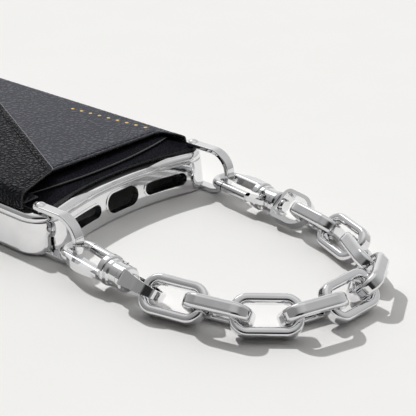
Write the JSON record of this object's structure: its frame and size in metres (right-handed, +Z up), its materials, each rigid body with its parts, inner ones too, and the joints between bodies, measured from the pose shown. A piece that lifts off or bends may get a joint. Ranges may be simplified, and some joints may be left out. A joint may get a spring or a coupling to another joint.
{
  "type": "chain wallet",
  "caption": "Phone case with a leather card pocket on its back, closed by a slanted flap, and a short chain wrist strap on two swivel hooks.",
  "frame": {"origin": "in the plane of the surface that the wallet lies on, midway between the case's long sides, level with the two corners of its port end", "axes": "+Z up from that surface, +Y from the strap's end to the camera's end, +X to the right seen from above"},
  "size_m": [0.0818, 0.2442, 0.0183],
  "materials": {
    "plated_shell": "silver plated, mirror bright",
    "polished_metal": "polished, silver coloured",
    "black_leather": "pebbled grain, semi matte, painted edges",
    "black_plastic": "fine satin",
    "lining_fabric": "short napped microfibre",
    "magnet": "nickel plated"
  },
  "bodies": {
    "case": {"bumper_frame": "plated_shell", "back_plate": "black_plastic", "inner_lining": "lining_fabric", "leather_back": "black_leather", "pocket_inner": "black_leather", "pocket_gusset": "black_leather", "pocket_front": "black_leather", "pocket_magnet": "magnet", "flap_anchor": "black_leather", "bracket_left": "polished_metal", "bracket_right": "polished_metal", "rivet_left": "polished_metal", "rivet_right": "polished_metal"},
    "flap": {"pocket_flap": "black_leather", "flap_magnet": "magnet"},
    "power_button": {"power_key": "plated_shell"},
    "volume_up_button": {"volume_up_key": "plated_shell"},
    "volume_down_button": {"volume_down_key": "plated_shell"},
    "ring_left": {"ring_left": "polished_metal"},
    "hook_left": {"hook_left": "polished_metal", "gate_pin_left": "polished_metal", "gate_spring_left": "polished_metal", "swivel_pin_left": "polished_metal"},
    "gate_left": {"gate_left": "polished_metal"},
    "ring_right": {"ring_right": "polished_metal"},
    "hook_right": {"hook_right": "polished_metal", "gate_pin_right": "polished_metal", "gate_spring_right": "polished_metal", "swivel_pin_right": "polished_metal"},
    "gate_right": {"gate_right": "polished_metal"},
    "link_1": {"link_1": "polished_metal"},
    "link_2": {"link_2": "polished_metal"},
    "link_3": {"link_3": "polished_metal"},
    "link_4": {"link_4": "polished_metal"},
    "link_5": {"link_5": "polished_metal"},
    "link_6": {"link_6": "polished_metal"},
    "link_7": {"link_7": "polished_metal"},
    "link_8": {"link_8": "polished_metal"},
    "link_9": {"link_9": "polished_metal"}
  },
  "joints": [
    {"name": "flap_hinge", "type": "hinge", "parent": "case", "child": "flap", "pos_m": [-0.03625, 0.0593, 0.01315], "axis": [0, -1, 0], "range_deg": [0, 120]},
    {"name": "power_press", "type": "slide", "parent": "case", "child": "power_button", "axis": [1, 0, 0], "range_m": [0, 0.00035], "stiffness_N_per_m": 600, "springref_m": -0.001},
    {"name": "volume_up_press", "type": "slide", "parent": "case", "child": "volume_up_button", "axis": [-1, 0, 0], "range_m": [0, 0.00035], "stiffness_N_per_m": 600, "springref_m": -0.001},
    {"name": "volume_down_press", "type": "slide", "parent": "case", "child": "volume_down_button", "axis": [-1, 0, 0], "range_m": [0, 0.00035], "stiffness_N_per_m": 600, "springref_m": -0.001},
    {"name": "strap_lift_left", "type": "hinge", "parent": "case", "child": "ring_left", "pos_m": [-0.03325, -0.00365, 0.00747], "axis": [-1, 0, 0], "range_deg": [0, 110]},
    {"name": "hook_swivel_left", "type": "hinge", "parent": "ring_left", "child": "hook_left", "pos_m": [-0.03675, -0.0334, 0.00514], "axis": [0.1478, 0.989, 0], "range_deg": [-9, 9]},
    {"name": "gate_open_left", "type": "hinge", "parent": "hook_left", "child": "gate_left", "pos_m": [-0.03351, -0.02862, 0.00514], "axis": [0, 0, 1], "range_deg": [0, 18], "stiffness_Nm_per_rad": 0.02, "springref_deg": -8.59},
    {"name": "strap_lift_right", "type": "hinge", "parent": "case", "child": "ring_right", "pos_m": [0.03325, -0.00365, 0.00747], "axis": [-1, 0, 0], "range_deg": [0, 110]},
    {"name": "hook_swivel_right", "type": "hinge", "parent": "ring_right", "child": "hook_right", "pos_m": [0.02975, -0.0334, 0.00514], "axis": [0.1478, 0.989, 0], "range_deg": [-9, 9]},
    {"name": "gate_open_right", "type": "hinge", "parent": "hook_right", "child": "gate_right", "pos_m": [0.02804, -0.02788, 0.00514], "axis": [0, 0, -1], "range_deg": [0, 18], "stiffness_Nm_per_rad": 0.02, "springref_deg": -8.59},
    {"name": "fold_left_1", "type": "hinge", "parent": "ring_left", "child": "link_1", "pos_m": [-0.03822, -0.04319, 0.00514], "axis": [-1, 0, 0], "range_deg": [0, 16]},
    {"name": "fold_right_1", "type": "hinge", "parent": "ring_right", "child": "link_9", "pos_m": [0.02828, -0.04319, 0.00514], "axis": [-1, 0, 0], "range_deg": [0, 16]},
    {"name": "fold_left_2", "type": "hinge", "parent": "link_1", "child": "link_2", "pos_m": [-0.03532, -0.05566, 0.00514], "axis": [-1, -0.0004, 0], "range_deg": [0, 18]},
    {"name": "fold_right_2", "type": "hinge", "parent": "link_9", "child": "link_8", "pos_m": [0.02527, -0.05563, 0.00514], "axis": [-1, -0.0004, 0], "range_deg": [0, 18]},
    {"name": "fold_left_3", "type": "hinge", "parent": "link_2", "child": "link_3", "pos_m": [-0.03199, -0.06802, 0.00514], "axis": [-0.9999, -0.0125, 0], "range_deg": [0, 15]},
    {"name": "fold_right_3", "type": "hinge", "parent": "link_8", "child": "link_7", "pos_m": [0.02016, -0.06736, 0.00514], "axis": [-0.9999, -0.0125, 0], "range_deg": [0, 15]},
    {"name": "fold_left_4", "type": "hinge", "parent": "link_3", "child": "link_4", "pos_m": [-0.02377, -0.07783, 0.00514], "axis": [-1, -0.0048, 0], "range_deg": [0, 12]},
    {"name": "fold_right_4", "type": "hinge", "parent": "link_7", "child": "link_6", "pos_m": [0.01255, -0.07765, 0.00514], "axis": [-1, -0.0048, 0], "range_deg": [0, 12]},
    {"name": "link_5_roll", "type": "hinge", "parent": "link_4", "child": "link_5", "pos_m": [-0.01176, -0.08224, 0.00514], "axis": [0.9973, -0.074, 0], "range_deg": [-6, 6]}
  ],
  "couplings": [
    {"joint": "strap_lift_right", "follows": "strap_lift_left", "ratio": 1},
    {"joint": "fold_right_1", "follows": "fold_left_1", "ratio": 1},
    {"joint": "fold_right_2", "follows": "fold_left_2", "ratio": 1},
    {"joint": "fold_right_3", "follows": "fold_left_3", "ratio": 1},
    {"joint": "fold_right_4", "follows": "fold_left_4", "ratio": 1}
  ]
}
